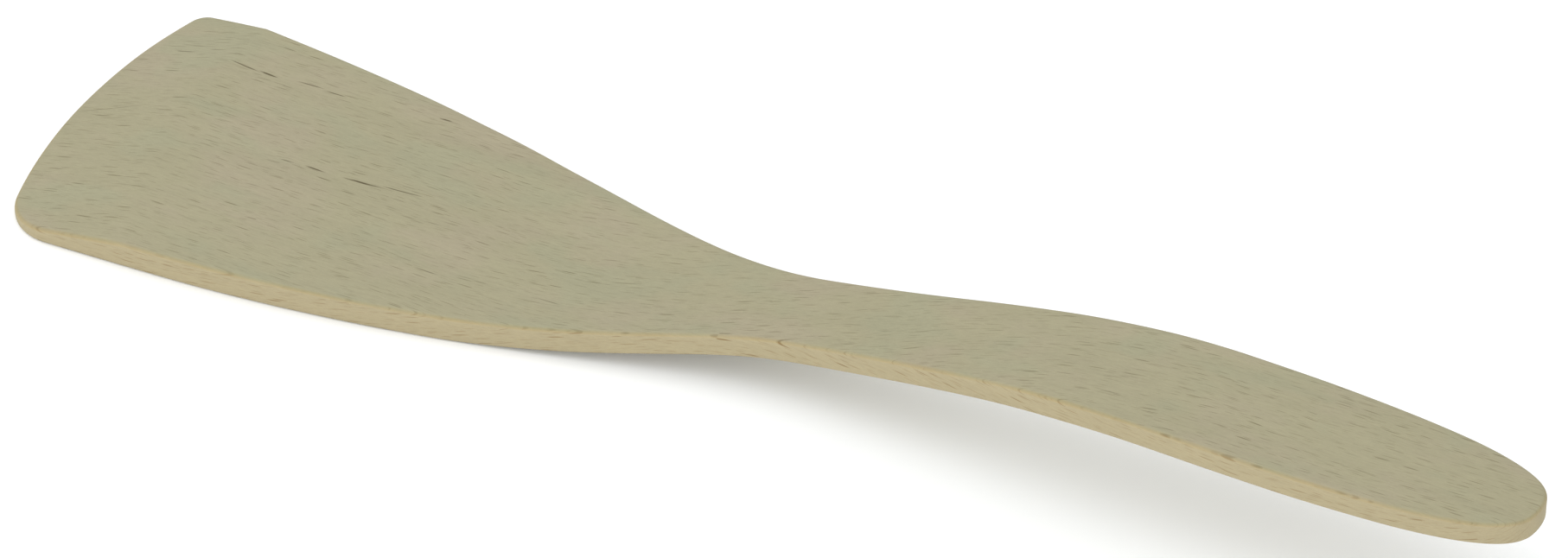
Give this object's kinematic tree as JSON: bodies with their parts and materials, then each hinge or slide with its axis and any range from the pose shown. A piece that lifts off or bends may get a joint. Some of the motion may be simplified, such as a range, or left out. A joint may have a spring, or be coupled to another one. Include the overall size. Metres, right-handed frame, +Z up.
{
  "type": "wooden spatula",
  "caption": "Beech kitchen spatula with a broad flat blade, a bevelled and slightly bowed front edge, a slim rising neck and a rounded handle.",
  "frame": {"origin": "on the surface that the blade rests on, at the middle of the length and width", "axes": "+X along the length from the blade's front edge to the end of the handle, +Y across the blade, +Z up from the blade's upper face"},
  "size_m": [0.3, 0.07, 0.0271],
  "materials": {
    "beech": "sanded and lightly oiled, matte"
  },
  "bodies": {
    "root": {"spatula": "beech"}
  },
  "joints": []
}
